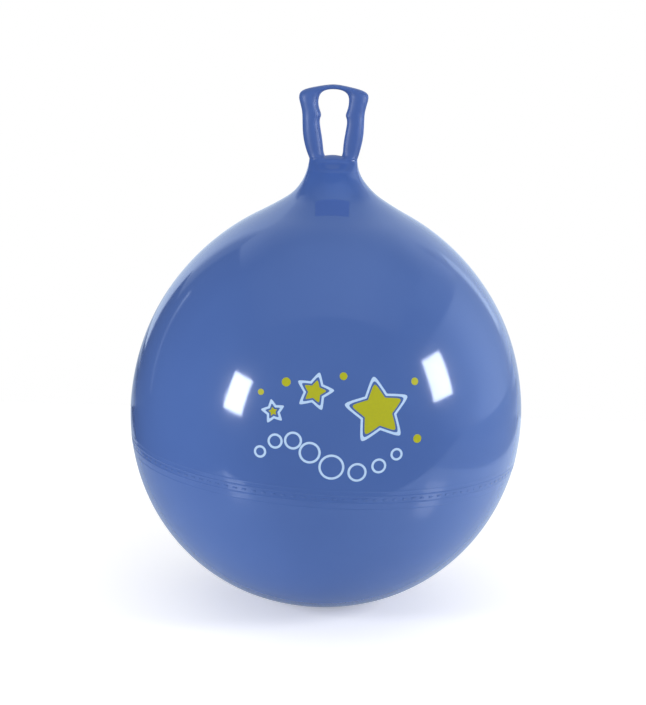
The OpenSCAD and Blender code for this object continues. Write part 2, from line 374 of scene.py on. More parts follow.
handle = bmesh.new()
around = handle.verts.layers.float.new("around")
crease = handle.edges.layers.float.new("crease_edge")
bmesh.ops.create_circle(
    handle, cap_ends=True, segments=COLLAR_SIDES, radius=neck_reach(collar_z),
    matrix=Matrix.Translation((0, 0, collar_z)),
)
for vertex in handle.verts:
    vertex[around] = atan2(vertex.co.y, vertex.co.x)
handle.faces.ensure_lookup_table()
cap = handle.faces[0]
bottom_rim = cap.edges[:]
for share in COLLAR_ROWS:
    cap = extrude_face(handle, cap)
    for vertex in cap.verts:
        vertex.co = collar_place(vertex[around], share)
print("the collar's top is", len(cap.verts), "sided")

# %% [markdown]
# The top of the collar is one face. Edges from its front to its back part it into the
# two roots of the legs and four strips between them, and more cuts across the strips
# give the rows that are lifted to a dome.

# %% Part the collar's top
STRIP_STEPS = [10, 11, 12, 13, 14]
DOME_CUTS = 7
DOME_RISE = 6.5 * MM
DOME_FALL = 0.3
ROOT_CORNERS = 20
NEARLY = 0.01 * MM


def at_step(step):
    """The vertex of the collar's top that is a number of steps round from the X axis."""
    angle = tau / COLLAR_SIDES * step
    return min(cap_verts, key=lambda v: abs((v[around] - angle + pi) % tau - pi))


cap_verts = list(cap.verts)
lines = []
for step in STRIP_STEPS:
    pair = [at_step(step), at_step(-step)]
    joined = bmesh.ops.connect_verts(handle, verts=pair)
    lines += joined["edges"]
strip_reach = max(abs(v.co.x) for e in lines for v in e.verts)
bmesh.ops.subdivide_edges(handle, edges=lines, cuts=DOME_CUTS, use_grid_fill=True)
half_depth = COLLAR_DEPTH / 2
for vertex in handle.verts:
    on_top = abs(vertex.co.z - crease_z) < NEARLY
    if on_top and abs(vertex.co.x) < strip_reach + NEARLY:
        across = 1 - DOME_FALL * (vertex.co.x / strip_reach) ** 2
        vertex.co.z += DOME_RISE * across * max(0, 1 - (vertex.co.y / half_depth) ** 2)
wide_faces = [face for face in handle.faces if len(face.verts) > ROOT_CORNERS]
roots = [face for face in wide_faces if face.calc_center_median().z > collar_z + MM]
roots.sort(key=lambda face: face.calc_center_median().x)
print("the legs' roots have", [len(root.verts) for root in roots], "corners")

# %% [markdown]
# Each leg is a tube whose cuts are listed: the inner and the outer point of a cut and
# its depth, as shares of the handle's half width, its height and its depth. The same
# list makes both legs, and at the middle of the bridge they meet and are merged. No soft
# moulding is quite even: the left leg is a little thicker outwards, and the right one is
# thicker and squarer inwards.

# %% Extrude the legs and the bridge
HANDLE_WIDTH = 112 * MM
HANDLE_HEIGHT = 120 * MM
GRIP_DEPTH = 29 * MM
GRIP_POWER = 2.1
SQUARE_POWER = 3.4
ROOT_CREASE = 0.3
SHARPEST = 1
THICKER_OUTWARDS = 1.5 * MM
THICKER_INWARDS = 1.3 * MM
LEG_START = 0.02
LEG_TOP = 0.88
LEG_FADE = 0.12
# Each cut: its inner point across and up, its outer point across and up, its depth
RING_CUTS = [
    (0.240, 0.036, 0.718, 0.010, 1.08), (0.266, 0.058, 0.743, 0.046, 0.97),
    (0.292, 0.092, 0.770, 0.090, 0.95), (0.308, 0.175, 0.814, 0.168, 0.96),
    (0.334, 0.275, 0.862, 0.268, 0.98), (0.372, 0.375, 0.888, 0.372, 1.00),
    (0.402, 0.458, 0.894, 0.465, 1.00), (0.414, 0.512, 0.897, 0.520, 1.00),
    (0.400, 0.555, 0.900, 0.562, 1.00), (0.362, 0.594, 0.903, 0.600, 1.00),
    (0.386, 0.634, 0.912, 0.645, 1.00), (0.422, 0.676, 0.936, 0.695, 1.00),
    (0.450, 0.728, 0.968, 0.752, 1.00), (0.456, 0.770, 0.998, 0.800, 1.00),
    (0.452, 0.806, 1.010, 0.832, 0.99), (0.440, 0.834, 1.014, 0.862, 0.97),
    (0.420, 0.862, 1.000, 0.890, 0.94), (0.390, 0.886, 0.952, 0.915, 0.90),
    (0.348, 0.908, 0.868, 0.938, 0.85), (0.286, 0.927, 0.714, 0.962, 0.79),
    (0.200, 0.941, 0.482, 0.985, 0.73), (0.102, 0.949, 0.242, 1.007, 0.69),
    (0.000, 0.951, 0.000, 1.020, 0.67),
]


def ring_place(angle, cut, side):
    """A point of a leg or the bridge, at an angle round one cut."""
    inner_x, inner_up, outer_x, outer_up, depth = cut
    inner = Vector((inner_x * HANDLE_WIDTH / 2, 0, inner_up * HANDLE_HEIGHT + crease_z))
    outer = Vector((outer_x * HANDLE_WIDTH / 2, 0, outer_up * HANDLE_HEIGHT + crease_z))
    on_leg = ease((LEG_TOP - inner_up) / LEG_FADE) * ease((inner_up - LEG_START) / LEG_FADE)
    power = GRIP_POWER
    if side < 0:
        outer.x += THICKER_OUTWARDS * on_leg
    else:
        inner.x -= THICKER_INWARDS * on_leg
        power += (SQUARE_POWER - GRIP_POWER) * on_leg * max(0, -cos(angle))
    place = (inner + outer) / 2 + (outer - inner) / 2 * bulge(cos(angle), power)
    place.y = depth * GRIP_DEPTH / 2 * bulge(sin(angle), power)
    return Vector((side * place.x, place.y, place.z))


root_rims = []
root_cut = RING_CUTS[0]
root_x = (root_cut[0] + root_cut[2]) / 2 * HANDLE_WIDTH / 2
for root, side in zip(roots, (-1, 1)):
    turn = {v: atan2(v.co.y, side * v.co.x - root_x) % tau for v in root.verts}
    for place, vertex in enumerate(sorted(turn, key=turn.get)):
        vertex[around] = tau * place / len(turn)
    leg = root
    for cut in RING_CUTS:
        leg = extrude_face(handle, leg)
        for vertex in leg.verts:
            vertex.co = ring_place(vertex[around], cut, side)
        if cut is root_cut:
            root_rims += leg.edges[:]
    bmesh.ops.delete(handle, geom=[leg], context="FACES_ONLY")
bmesh.ops.holes_fill(handle, edges=bottom_rim, sides=0)
for edge in bottom_rim:
    edge[crease] = SHARPEST
for edge in root_rims:
    edge[crease] = ROOT_CREASE
bmesh.ops.remove_doubles(handle, verts=handle.verts, dist=NEARLY)
bmesh.ops.recalc_face_normals(handle, faces=handle.faces)
for vertex in handle.verts:
    vertex.co.x += sideways_lean(vertex.co.z)
handle_skin = make_piece("handle_skin", handle)
rounding = handle_skin.modifiers.new("rounding", "SUBSURF")
rounding.levels = 2
rounding.render_levels = 2

# %% [markdown]
# The valve of such a ball is a thick seat with a bore, and a plastic plug with ribs on
# its stem. Both are turned parts, so each is a profile that is spun round the valve's
# axis and then put in its place. Heights are counted from the ball's surface outwards.

# %% Spin the valve's seat and its plug
VALVE_STEPS = 64
# Each corner of a profile: its distance from the axis and its height, in millimetres
SEAT_PROFILE = [
    (4.5, -20), (4.5, -2.6), (4.9, -2.2), (7.9, -2.2), (8.2, -1.9), (8.2, -0.3), (8.5, 0),
    (9.3, 0.1), (9.9, -0.1), (12.4, -0.25), (12.9, -0.5), (13, -1), (13, -3.4), (12.8, -3.5),
    (8.7, -3.5), (8.5, -3.7), (8.5, -19.8), (8.3, -20), (4.5, -20),
]
PLUG_PROFILE = [
    (0, -17), (1.3, -17), (1.9, -16.4), (3.9, -15.5), (3.95, -14), (4.45, -14), (3.95, -12.5),
    (3.95, -11), (4.45, -11), (3.95, -9.5), (3.95, -8), (4.45, -8), (3.95, -6.5), (3.95, -5),
    (4.45, -5), (3.95, -3.5), (3.95, -2.2), (4.2, -2), (7.6, -2), (8, -1.6), (8, -0.7),
    (7.8, -0.3), (7.3, -0.1), (6.6, 0), (2.6, 0), (2.1, -0.2), (1.4, -0.9), (0, -1.1),
]


def turn_profile(name, profile):
    """Spins a profile round the valve's axis and returns the piece."""
    shape = bmesh.new()
    corners = [shape.verts.new((out * MM, 0, up * MM + BALL_RADIUS)) for out, up in profile]
    for first, second in zip(corners, corners[1:]):
        shape.edges.new((first, second))
    bmesh.ops.spin(
        shape, geom=shape.verts[:] + shape.edges[:], cent=(0, 0, 0), axis=(0, 0, 1),
        dvec=(0, 0, 0), angle=tau, steps=VALVE_STEPS, use_merge=True,
    )
    bmesh.ops.remove_doubles(shape, verts=shape.verts, dist=TOUCHING)
    bmesh.ops.recalc_face_normals(shape, faces=shape.faces)
    bmesh.ops.transform(shape, matrix=on_valve, verts=shape.verts)
    return make_piece(name, shape, corner=FINE_CORNER)


seat = turn_profile("valve_seat_ring", SEAT_PROFILE)
plug = turn_profile("valve_plug_ribbed", PLUG_PROFILE)

# %% [markdown]
# The front carries a print in lime and pale blue. Here it is a generic one: stars and
# rings along a bouncing path. Each motif is drawn flat, in millimetres from the print's
# middle: a loop of edges, filled or bridged to a second loop for an outline. A star's
# sides all lie at the same distance from its middle, so a smaller star fits inside a
# larger one with an even gap.

# %% Draw the print's motifs
OUTLINE = 3.6
GAP = 2.6
STAR_POINTS = 5
STAR_WAIST = 0.5
STAR_SOFTNESS = 4
MOTIF_SIDES = 120
# Stars: middle across and up, reach of the points, turn
STARS = [(58, 30, 60, 8), (-40, 58, 34, -14), (-104, 26, 22, 10)]
# Rings: middle across and up, radius
RINGS = [
    (-124, -38, 10), (-100, -20, 12), (-72, -18, 14), (-46, -36, 17), (-12, -58, 20),
    (28, -66, 15), (62, -56, 12), (90, -38, 10),
]
# Dots: middle across and up, radius
DOTS = [(118, 76, 6), (124, -14, 7), (-84, 72, 7), (4, 82, 6), (-124, 56, 5)]

half_point = 180 / STAR_POINTS
edge_reach = STAR_WAIST * sin(radians(half_point)) / sqrt(
    1 + STAR_WAIST**2 - 2 * STAR_WAIST * cos(radians(half_point))
)
edge_angle = degrees(acos(edge_reach))


def star_share(angle):
    """The reach of a star with soft points at an angle, as a share of its longest."""
    from_point = (angle + half_point) % (2 * half_point) - half_point
    return edge_reach / cos(radians(hypot(from_point, STAR_SOFTNESS) - edge_angle))


def add_loop(shape, across, up, reach, turn=None, filled=False):
    """Adds a round loop, or a star's if it has a turn, and returns its edges."""
    spot = Vector((across * MM, up * MM, 0))
    made = bmesh.ops.create_circle(
        shape, cap_ends=filled, segments=MOTIF_SIDES, radius=reach * MM,
        matrix=Matrix.Translation(spot),
    )
    if turn is not None:
        for vertex in made["verts"]:
            out = vertex.co - spot
            vertex.co = spot + out * star_share(degrees(atan2(out.x, out.y)) + turn)
    return list({edge for vertex in made["verts"] for edge in vertex.link_edges})


def add_outline(shape, across, up, reach, inner_reach, turn=None):
    """Adds two loops and the band of faces between them."""
    loops = add_loop(shape, across, up, reach, turn) + add_loop(shape, across, up, inner_reach, turn)
    bmesh.ops.bridge_loops(shape, edges=loops)


lime = bmesh.new()
pale = bmesh.new()
for across, up, reach, turn in STARS:
    edge_distance = reach * edge_reach
    outline_share = 1 - OUTLINE / edge_distance
    middle_share = outline_share - GAP / edge_distance
    add_outline(pale, across, up, reach, reach * outline_share, turn)
    add_loop(lime, across, up, reach * middle_share, turn, filled=True)
for across, up, reach in RINGS:
    add_outline(pale, across, up, reach, reach - OUTLINE)
for across, up, reach in DOTS:
    add_loop(lime, across, up, reach, filled=True)
print("the print has", len(STARS), "stars,", len(RINGS), "rings and", len(DOTS), "dots")

# %% [markdown]
# The print lies on the skin like a transfer. Planes cut the flat motifs into small faces,
# and corners that a cut leaves almost in one place are merged. Each face then gets a copy
# a little further out, and every corner is sent round the ball and dropped onto its skin.

# %% Bend the print onto the ball
PRINT_LATITUDE = 9
PRINT_AZIMUTH = 4
PRINT_CELL = 6 * MM
PRINT_REACH = 140 * MM
INK = 0.12 * MM
ROOT_DEPTH = 0.2 * MM
SLIVER = 0.03 * MM


def lay_on_ball(name, shape, latitude_angle, azimuth, thickness):
    """Cuts a flat shape into small faces, bends it onto the ball and gives it a body."""
    bmesh.ops.triangulate(shape, faces=shape.faces)
    for normal in (Vector((1, 0, 0)), Vector((0, 1, 0))):
        offset = -PRINT_REACH
        while offset < PRINT_REACH:
            everything = shape.verts[:] + shape.edges[:] + shape.faces[:]
            bmesh.ops.bisect_plane(shape, geom=everything, plane_co=normal * offset, plane_no=normal)
            offset += PRINT_CELL
    bmesh.ops.remove_doubles(shape, verts=shape.verts, dist=SLIVER)
    bmesh.ops.recalc_face_normals(shape, faces=shape.faces)
    if shape.faces[:][0].normal.z < 0:
        bmesh.ops.reverse_faces(shape, faces=shape.faces)
    top = bmesh.ops.extrude_face_region(shape, geom=shape.faces[:], use_keep_orig=True)
    raised = {v for v in top["geom"] if isinstance(v, bmesh.types.BMVert)}
    to_print = (
        Matrix.Rotation(radians(azimuth), 4, "Z")
        @ Matrix.Rotation(radians(90 - latitude_angle), 4, "X")
    )
    for vertex in shape.verts:
        flat = Vector((vertex.co.x, vertex.co.y, 0))
        turn = flat.length / BALL_RADIUS
        side = flat.normalized() if flat.length else flat
        out = to_print @ (side * sin(turn) + Vector((0, 0, cos(turn))))
        hit = skin_tree.ray_cast(ball_centre + out * 2 * BALL_RADIUS, -out)[0]
        vertex.co = hit + out * (thickness if vertex in raised else -ROOT_DEPTH)
    bmesh.ops.recalc_face_normals(shape, faces=shape.faces)
    return make_piece(name, shape, corner=FINE_CORNER)


lime_print = lay_on_ball("print_lime", lime, PRINT_LATITUDE, PRINT_AZIMUTH, INK)
pale_print = lay_on_ball("print_pale", pale, PRINT_LATITUDE, PRINT_AZIMUTH, INK)

# %% [markdown]
# Under the neck the mould has a small bare panel with a dull grain, a hair proud of the
# polished skin round it. It is a flat rectangle with rounded corners, bent onto the slope
# in the same way as the print.

# %% Lay the bare panel under the neck
PANEL_LATITUDE = 76.45
PANEL_HALF_WIDTH = 24.5
PANEL_HALF_HEIGHT = 16.5
PANEL_CORNER = 1.2
PANEL_CORNER_STEPS = 4
PANEL_RISE = 0.15 * MM

panel = bmesh.new()
bmesh.ops.create_grid(panel, x_segments=1, y_segments=1, size=MM)
bmesh.ops.scale(panel, vec=(PANEL_HALF_WIDTH, PANEL_HALF_HEIGHT, 1), verts=panel.verts)
bmesh.ops.bevel(
    panel, geom=panel.verts[:], offset=PANEL_CORNER * MM, segments=PANEL_CORNER_STEPS,
    profile=0.5, affect="VERTICES", material=-1,
)
panel_piece = lay_on_ball("bare_panel", panel, PANEL_LATITUDE, 0, PANEL_RISE)

# %% [markdown]
# Colours are written as on a screen, in hex, and one function turns them into the linear
# values that Blender mixes with. One more adds a node, sets it and links it. The scale of
# a noise is one over the width of its marks in metres, so 60 gives marks of about 17 mm.

# %% Helpers for materials


def colour(code):
    """A screen colour such as #4a69ad as linear red, green, blue and alpha."""
    parts = [int(code[place : place + 2], 16) / 255 for place in (1, 3, 5)]
    linear = [p / 12.92 if p <= 0.04045 else ((p + 0.055) / 1.055) ** 2.4 for p in parts]
    return (*linear, 1)


def add_node(tree, kind, inputs=None, **settings):
    """Adds a node, sets its properties, and fills or links its inputs."""
    node = tree.nodes.new(kind)
    for name, value in settings.items():
        setattr(node, name, value)
    for name, value in (inputs or {}).items():
        if isinstance(value, bpy.types.NodeSocket):
            tree.links.new(value, node.inputs[name])
        else:
            node.inputs[name].default_value = value
    return node


def new_material(name):
    """A material with an empty node tree and its output node."""
    material = bpy.data.materials.new(name)
    material.use_nodes = True
    material.node_tree.nodes.clear()
    return material, material.node_tree, add_node(material.node_tree, "ShaderNodeOutputMaterial")


# %% [markdown]
# The skin is soft PVC, slush moulded in a polished mould. It is glossy, with a very
# slight waviness that softens the edges of reflections, and fine rubbed marks that catch
# the light. Its blue is a little darker and deeper from the neck up, over the neck and the
# handle, than on the ball. Hands have rubbed the handle to a satin, so
# the handle's skin has the same material with a duller coat. In a Mix node the sockets 6
# and 7 are the two colours.

# %% Blue PVC
NECK_TONE_START = 0.67
NECK_TONE_END = 0.75
SATIN_FADE = 4 * MM
HANDLE_DULLNESS = 0.38
BALL_WAVE = 0.25
HANDLE_WAVE = 0.03


def height_share(tree, place, start, end):
    """Rises smoothly from 0 to 1 between two heights."""
    height = add_node(tree, "ShaderNodeSeparateXYZ", {0: place}).outputs["Z"]
    return add_node(
        tree, "ShaderNodeMapRange", {"Value": height, "From Min": start, "From Max": end},
        interpolation_type="SMOOTHSTEP",
    ).outputs[0]


def vinyl_material(name, coat_roughness):
    """Slush-moulded blue PVC, which shines on the ball and is a satin on the handle."""
    material, tree, output = new_material(name)
    place = add_node(tree, "ShaderNodeTexCoord").outputs["Object"]
    clouds = add_node(
        tree, "ShaderNodeTexNoise",
        {"Vector": place, "Scale": 9, "Detail": 2, "Roughness": 0.5},
    ).outputs["Fac"]
    # The ball's blue, and a darker, deeper blue from the neck up
    ball_blue, upper_blue = (
        add_node(
            tree, "ShaderNodeMix", {"Factor": clouds, 6: colour(deep), 7: colour(light)},
            data_type="RGBA",
        ).outputs[2]
        for deep, light in (("#4763a2", "#4c69a8"), ("#3f5da3", "#4364aa"))
    )
    up_neck = height_share(tree, place, NECK_TONE_START, NECK_TONE_END)
    tone = add_node(
        tree, "ShaderNodeMix", {"Factor": up_neck, 6: ball_blue, 7: upper_blue}, data_type="RGBA",
    )
    rubbed = add_node(
        tree, "ShaderNodeTexNoise",
        {"Vector": place, "Scale": 60, "Detail": 4, "Roughness": 0.6},
    )
    gloss = add_node(
        tree, "ShaderNodeMapRange",
        {
            "Value": rubbed.outputs["Fac"], "From Min": 0.3, "From Max": 0.75,
            "To Min": 0.06, "To Max": 0.11,
        },
    )
    on_handle = height_share(tree, place, crease_z - SATIN_FADE, crease_z + SATIN_FADE)
    satin = add_node(
        tree, "ShaderNodeMath", {0: on_handle, 1: HANDLE_DULLNESS, 2: gloss.outputs[0]},
        operation="MULTIPLY_ADD",
    )
    wave = add_node(
        tree, "ShaderNodeTexNoise",
        {"Vector": place, "Scale": 120, "Detail": 2, "Roughness": 0.5},
    )
    waviness = add_node(
        tree, "ShaderNodeMath", {0: on_handle, 1: HANDLE_WAVE - BALL_WAVE, 2: BALL_WAVE},
        operation="MULTIPLY_ADD",
    )
    bump = add_node(
        tree, "ShaderNodeBump",
        {"Height": wave.outputs["Fac"], "Strength": waviness.outputs[0], "Distance": 0.02 * MM},
    )
    shader = add_node(
        tree, "ShaderNodeBsdfPrincipled",
        {
            "Base Color": tone.outputs[2],
            "Roughness": satin.outputs[0],
            "Normal": bump.outputs["Normal"],
            "IOR": 1.53,
            "Specular Tint": colour("#e2ecff"),
            "Coat Weight": 0.2,
            "Coat Roughness": coat_roughness,
        },
    )
    tree.links.new(shader.outputs[0], output.inputs["Surface"])
    return material


vinyl = vinyl_material("slush_moulded_blue_pvc", coat_roughness=0.25)
handled_vinyl = vinyl_material("slush_moulded_blue_pvc_handled", coat_roughness=0.45)
print(vinyl.name, "has", len(vinyl.node_tree.nodes), "nodes")

# %% [markdown]
# The bare panel is the same PVC, but it comes from a spark-eroded patch of the mould, which
# leaves a fine dull grain. The grain is drawn about 0.7 mm wide, coarser than the real
# one, so that it shows at all.

# %% Grained PVC


def grained_material():
    """The same PVC from a spark-eroded patch of the mould, which leaves a fine dull grain."""
    material, tree, output = new_material("grained_blue_pvc")
    place = add_node(tree, "ShaderNodeTexCoord").outputs["Object"]
    grain = add_node(
        tree, "ShaderNodeTexNoise",
        {"Vector": place, "Scale": 1500, "Detail": 2, "Roughness": 0.5},
    ).outputs["Fac"]
    tone = add_node(
        tree, "ShaderNodeMix", {"Factor": grain, 6: colour("#3b5ba2"), 7: colour("#4161a9")},
        data_type="RGBA",
    )
    bump = add_node(
        tree, "ShaderNodeBump", {"Height": grain, "Strength": 0.4, "Distance": 0.05 * MM},
    )
    shader = add_node(
        tree, "ShaderNodeBsdfPrincipled",
        {
            "Base Color": tone.outputs[2],
            "Roughness": 0.55,
            "Normal": bump.outputs["Normal"],
            "IOR": 1.53,
            "Specular IOR Level": 0.25,
        },
    )
    tree.links.new(shader.outputs[0], output.inputs["Surface"])
    return material


dull_vinyl = grained_material()
print(dull_vinyl.name, "has", len(dull_vinyl.node_tree.nodes), "nodes")

# %% [markdown]
# The plug is moulded polyethylene, which is satin and lets a little light in, with the
# grain of its mould, about a millimetre wide. The print is a thin layer of flexible screen
# ink: it is less glossy than the skin under it, and uneven over about three millimetres.

# %% White plastic and ink


def plastic_material():
    """Moulded polyethylene: a soft shine, a little depth and the fine grain of its mould."""
    material, tree, output = new_material("satin_white_polyethylene")
    place = add_node(tree, "ShaderNodeTexCoord").outputs["Object"]
    grain = add_node(
        tree, "ShaderNodeTexNoise",
        {"Vector": place, "Scale": 900, "Detail": 3, "Roughness": 0.6},
    )
    bump = add_node(
        tree, "ShaderNodeBump",
        {"Height": grain.outputs["Fac"], "Strength": 0.3, "Distance": 0.03 * MM},
    )
    shader = add_node(
        tree, "ShaderNodeBsdfPrincipled",
        {
            "Base Color": colour("#e9e8e2"),
            "Roughness": 0.38,
            "IOR": 1.51,
            "Subsurface Weight": 0.15,
            "Subsurface Scale": 1.5 * MM,
            "Normal": bump.outputs["Normal"],
        },
    )
    tree.links.new(shader.outputs[0], output.inputs["Surface"])
    return material


def ink_material(name, code, worn_code):
    """Screen ink: its colour is a little uneven, as the screen's mesh leaves it."""
    material, tree, output = new_material(name)
    place = add_node(tree, "ShaderNodeTexCoord").outputs["Object"]
    screen = add_node(
        tree, "ShaderNodeTexNoise",
        {"Vector": place, "Scale": 300, "Detail": 3, "Roughness": 0.6},
    )
    tone = add_node(
        tree, "ShaderNodeMix",
        {"Factor": screen.outputs["Fac"], 6: colour(worn_code), 7: colour(code)},
        data_type="RGBA",
    )
    bump = add_node(
        tree, "ShaderNodeBump",
        {"Height": screen.outputs["Fac"], "Strength": 0.2, "Distance": 0.02 * MM},
    )
    shader = add_node(
        tree, "ShaderNodeBsdfPrincipled",
        {
            "Base Color": tone.outputs[2],
            "Roughness": 0.2,
            "IOR": 1.5,
            "Normal": bump.outputs["Normal"],
        },
    )
    tree.links.new(shader.outputs[0], output.inputs["Surface"])
    return material


plastic = plastic_material()
lime_ink = ink_material("lime_screen_ink", "#b3b524", "#a4a62a")
pale_ink = ink_material("pale_blue_screen_ink", "#bcd6f4", "#aecbee")
finishes = {
    ball_skin: vinyl, handle_skin: handled_vinyl, seat: vinyl, plug: plastic,
    panel_piece: dull_vinyl, lime_print: lime_ink, pale_print: pale_ink,
}
for piece, material in finishes.items():
    piece.data.materials.append(material)
    print(piece.name, "is made of", material.name)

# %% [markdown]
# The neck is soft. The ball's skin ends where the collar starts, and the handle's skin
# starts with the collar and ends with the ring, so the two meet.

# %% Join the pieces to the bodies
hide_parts("lower_skin", "seam_band", "upper_skin", "shoulder", "neck")
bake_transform(ball_skin)
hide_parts("neck_collar", "handle_ring")
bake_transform(handle_skin)
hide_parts("valve_seat")
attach(seat, "ball")
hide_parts("valve_plug")
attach(plug, "plug")
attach(lime_print, "ball")
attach(pale_print, "ball")
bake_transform(panel_piece)

# %% [markdown]
# The photograph was taken in a white studio. The ball stands on a white board. Behind it
# are two sweeps of paper and a cloth screen, and another screen stands on the right. Two
# softboxes in front show on the ball as bright windows. A ceiling, a wall, a lamp's stand
# and a silver reflector give the weaker shapes that the skin mirrors, and what is left of
# the room is dull, which keeps the blue deep. The screens stand further away than the
# camera, so that they never come between it and the ball, whichever side it looks from.
# To the camera the studio is plain white, with the ball's soft shadow on the board, and
# only what the ball mirrors is given its own strength.

# %% Helpers for the studio
MIRRORED_WHITE = colour("#dcecff")


def stage_sheet(name, corner, far_corner, matrix, material):
    """A flat sheet of the studio, drawn level between two corners and then turned."""
    shape = bmesh.new()
    bmesh.ops.create_grid(shape, x_segments=1, y_segments=1, size=0.5)
    across, along = far_corner[0] - corner[0], far_corner[1] - corner[1]
    middle = (corner[0] + across / 2, corner[1] + along / 2, 0)
    bmesh.ops.scale(shape, vec=(across, along, 1), verts=shape.verts)
    bmesh.ops.translate(shape, vec=middle, verts=shape.verts)
    bmesh.ops.transform(shape, matrix=matrix, verts=shape.verts)
    sheet = make_piece(name, shape)
    sheet.data.materials.append(material)
    return sheet


def seen_by_rays(tree, camera_shader, mirrored_shader, other_shader):
    """Picks a shader by the kind of ray that meets the surface."""
    path = add_node(tree, "ShaderNodeLightPath").outputs
    indirect = add_node(
        tree, "ShaderNodeMixShader",
        {0: path["Is Glossy Ray"], 1: other_shader.outputs[0], 2: mirrored_shader.outputs[0]},
    )
    return add_node(
        tree, "ShaderNodeMixShader",
        {0: path["Is Camera Ray"], 1: indirect.outputs[0], 2: camera_shader.outputs[0]},
    ).outputs[0]


# %% [markdown]
# A surface that the ball mirrors is brighter in one place than in another. Its strength
# follows a colour ramp along the X, Y or Z axis of its Object coordinates, and where it
# changes along two axes, the two strengths are added.

# %% Helpers for light along an axis


def strength_along(tree, axis, stops):
    """A strength that changes along an axis, through stops of a place and a value."""
    start, end = stops[0][0], stops[-1][0]
    place = add_node(tree, "ShaderNodeTexCoord").outputs["Object"]
    along = add_node(tree, "ShaderNodeSeparateXYZ", {0: place}).outputs[axis]
    share = add_node(tree, "ShaderNodeMapRange", {"Value": along, "From Min": start, "From Max": end})
    ramp = add_node(tree, "ShaderNodeValToRGB", {0: share.outputs[0]})
    elements = ramp.color_ramp.elements
    for element, value in zip(elements, (stops[0][1], stops[-1][1])):
        element.color = (value, value, value, 1)
    for stop, value in stops[1:-1]:
        elements.new((stop - start) / (end - start)).color = (value, value, value, 1)
    return ramp.outputs[0]


def total_strength(tree, stops_by_axis):
    """The sum of the strengths that are given along one or two axes."""
    strengths = [strength_along(tree, axis, stops) for axis, stops in stops_by_axis.items()]
    if len(strengths) == 1:
        return strengths[0]
    return add_node(
        tree, "ShaderNodeMath", {0: strengths[0], 1: strengths[1]}, operation="ADD",
    ).outputs[0]


def screen_material(name, bounced_strength, **mirrored):
    """A surface that is white to the camera, and has its own strengths in the ball's mirror."""
    material, tree, output = new_material(name)
    white = add_node(tree, "ShaderNodeEmission", {"Strength": 1})
    in_mirror = add_node(
        tree, "ShaderNodeEmission",
        {"Color": MIRRORED_WHITE, "Strength": total_strength(tree, mirrored)},
    )
    bounced = add_node(tree, "ShaderNodeEmission", {"Strength": bounced_strength})
    seen = seen_by_rays(tree, white, in_mirror, bounced)
    tree.links.new(seen, output.inputs["Surface"])
    return material


# %% [markdown]
# The board is the one surface of the studio that takes the ball's shadow, so it has a
# matt base, and a faint polish over it. What the ball mirrors of it has painted pools of
# light, the brightest on the right, and a painted shade that darkens it from the front edge
# towards the ball's foot. Each stop is a place in metres from the ball's axis and the
# strength there.

# %% The board
BOARD_GLOW = 0.35
BOARD_BOUNCE = 0.28
# Across: painted pools of light; along Y: a painted shade of the ball, darker towards its foot
BOARD_POOLS = {
    "X": [(-0.4, 0.56), (0, 0.34), (0.4, 0.8), (0.66, 1.05), (0.94, 1.1), (1, 0.45), (1.9, 0.48)],
    "Y": [(-0.64, 0.1), (-0.45, 0.02), (-0.35, 0)],
}

board, tree, output = new_material("white_laminated_board")
matt = add_node(tree, "ShaderNodeBsdfDiffuse", {"Color": colour("#f4f4f4")})
polish = add_node(tree, "ShaderNodeBsdfGlossy", {"Color": colour("#4b4b4b"), "Roughness": 0.18})
pool = add_node(
    tree, "ShaderNodeEmission",
    {"Color": MIRRORED_WHITE, "Strength": total_strength(tree, BOARD_POOLS)},
)
seen_glow = add_node(tree, "ShaderNodeEmission", {"Strength": BOARD_GLOW})
bounced_glow = add_node(tree, "ShaderNodeEmission", {"Strength": BOARD_BOUNCE})
seen, mirrored, bounced = (
    add_node(tree, "ShaderNodeAddShader", {0: first.outputs[0], 1: second.outputs[0]})
    for first, second in ((matt, seen_glow), (polish, pool), (matt, bounced_glow))
)
tree.links.new(seen_by_rays(tree, seen, mirrored, bounced), output.inputs["Surface"])
print("the board's pools have", len(BOARD_POOLS["X"]), "stops across")

# %% [markdown]
# The other surfaces are paper, cloth, paint, plaster and a silver reflector. Each is an
# even white to the camera and an even, weak fill for the room, and a few stops along one
# or two axes say how bright it is where the ball mirrors it. So the skin shows soft edges
# and slopes of light, as in the photograph.

# %% The paper, cloth and paint of the studio
floor_paint = screen_material("white_floor_paint", 0.4, X=[(1.9, 0.48), (4, 0.6)])
sweep = screen_material(
    "white_paper_sweep", 0.5, X=[(-1.4, 0.1), (-0.9, 0.6), (1.2, 0.9), (1.7, 0.5), (4, 0.5)],
)
far_sweep = screen_material(
    "white_paper_far_sweep", 0.5, X=[(-1.9, 0.1), (-1.4, 0.7), (2.2, 0.95), (2.7, 0.5), (4, 0.5)],
)
cloth = screen_material(
    "white_screen_cloth", 0.6,
    X=[
        (-4, 0.3), (-3.2, 0.45), (-2.95, 0.9), (-2.6, 1.3), (-1.4, 1.05), (3.1, 1.1), (3.6, 0.7),
        (4, 0.6),
    ],
)
side_cloth = screen_material(
    "white_side_cloth", 0.4,
    Y=[(-1.8, 0.1), (0.8, 1.35), (1.6, 1.3), (2.6, 1), (3.2, 0.75), (4.4, 0.65)],
)
wall_paint = screen_material(
    "white_wall_paint", 0.4, Y=[(-1.8, 0.1), (0.8, 0.4), (2.4, 0.5), (4.4, 0.95)],
)
plaster = screen_material(
    "white_ceiling_plaster", 0.9,
    X=[(-4, 0), (-2.6, 0.12), (0.9, 0.44), (1.6, 0.42), (2.6, 0.27), (4, 0.17)],
    Y=[(-3, 0.14), (0, 0.12), (1.3, 0), (2.4, 0.32), (3.2, 0.6), (4.4, 0.85)],
)
stand_paint = screen_material("white_stand_paint", 0.4, Z=[(0, 0.3), (1.4, 0.5), (2.3, 1.4)])
